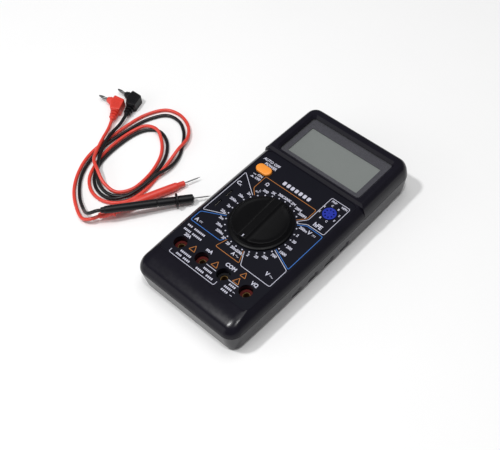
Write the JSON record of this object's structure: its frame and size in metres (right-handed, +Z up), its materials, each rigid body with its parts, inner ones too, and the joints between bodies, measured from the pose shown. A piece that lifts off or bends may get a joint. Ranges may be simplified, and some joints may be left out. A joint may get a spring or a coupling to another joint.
{
  "type": "digital multimeter",
  "caption": "Hand-held digital multimeter lying on its back, with display, rotary range dial, push power button, test sockets, folding stand and a pair of test leads beside it.",
  "frame": {"origin": "middle of the meter's underside, on the surface it lies on", "axes": "+Y along the case towards the display, +Z up out of the front panel, +X to the right of the display"},
  "size_m": [0.2355, 0.176, 0.0328],
  "materials": {
    "case_plastic": "satin black moulding with a fine grain",
    "label_film": "printed dark film, semi-matt",
    "clear_lens": "polished clear plastic",
    "bezel_print": "fine speckled print",
    "lcd_panel": "grey green liquid crystal panel",
    "pink_rubber": "soft conductive strip",
    "board_laminate": "green circuit laminate",
    "black_plastic": "satin black",
    "blue_plastic": "bright blue moulding",
    "knob_plastic": "satin black moulding",
    "natural_plastic": "slippery off-white",
    "steel": "plated steel",
    "plated_steel": "bright plated steel",
    "brass": "bright brass",
    "orange_plastic": "orange moulding",
    "red_plastic": "red moulding",
    "fuse_glass": "ceramic tube",
    "battery_wrap": "wrapped metal can",
    "red_cord": "soft red insulation",
    "black_cord": "soft black insulation"
  },
  "bodies": {
    "meter": {"front_case": "case_plastic", "rear_case": "case_plastic", "panel_label": "label_film", "display_lens": "clear_lens", "display_bezel": "bezel_print", "lcd_glass": "lcd_panel", "zebra_strip": "pink_rubber", "circuit_board": "board_laminate", "measuring_chip": "black_plastic", "trimmer": "blue_plastic", "power_switch_body": "black_plastic", "transistor_socket": "blue_plastic", "capacitor_clip_1": "steel", "capacitor_clip_2": "steel", "fuse": "fuse_glass", "fuse_clip_1": "brass", "fuse_clip_2": "brass", "shunt_wire": "steel", "buzzer_disc": "brass", "battery": "battery_wrap", "battery_snap": "black_plastic", "jack_collar_current_high": "red_plastic", "jack_tube_current_high": "brass", "jack_collar_current_low": "red_plastic", "jack_tube_current_low": "brass", "jack_collar_common": "black_plastic", "jack_tube_common": "brass", "jack_collar_volt_ohm": "red_plastic", "jack_tube_volt_ohm": "brass", "case_screw_1": "steel", "board_screw_1": "steel", "case_screw_2": "steel", "board_screw_2": "steel", "case_screw_3": "steel", "board_screw_3": "steel", "case_screw_4": "steel", "board_screw_4": "steel"},
    "selector": {"selector_knob": "knob_plastic", "selector_rotor": "natural_plastic", "detent_ball_1": "steel", "detent_ball_2": "steel", "detent_spring_1": "steel", "detent_spring_2": "steel", "contact_spring_1": "brass", "contact_spring_2": "brass"},
    "power_button": {"power_button_cap": "orange_plastic", "power_switch_plunger": "natural_plastic", "button_spring": "steel"},
    "tilt_stand": {"tilt_stand": "case_plastic"},
    "battery_door": {"battery_door": "case_plastic"},
    "test_leads": {"red_lead_cord": "red_cord", "red_lead_plug": "red_plastic", "red_lead_plug_pin": "plated_steel", "red_probe_handle": "red_plastic", "red_probe_tip": "plated_steel", "black_lead_cord": "black_cord", "black_lead_plug": "black_plastic", "black_lead_plug_pin": "plated_steel", "black_probe_handle": "black_plastic", "black_probe_tip": "plated_steel"}
  },
  "joints": [
    {"name": "selector_turn", "type": "hinge", "parent": "meter", "child": "selector", "pos_m": [0, -0.0146, 0.0265], "axis": [0, 0, 1], "continuous": true},
    {"name": "power_button_push", "type": "slide", "parent": "meter", "child": "power_button", "axis": [0, 0, -1], "range_m": [0, 0.002], "stiffness_N_per_m": 200, "springref_m": -0.001, "deforming": ["button_spring"]},
    {"name": "tilt_stand_fold", "type": "hinge", "parent": "meter", "child": "tilt_stand", "pos_m": [0, 0.0305, 0.0016], "axis": [1, 0, 0], "range_deg": [0, 60]},
    {"name": "battery_door_open", "type": "hinge", "parent": "meter", "child": "battery_door", "pos_m": [0, 0.0723, 0.001], "axis": [1, 0, 0], "range_deg": [0, 60]},
    {"name": "test_leads_lift", "type": "slide", "parent": "meter", "child": "test_leads", "axis": [0, 0, 1], "range_m": [0, 0.08]}
  ]
}
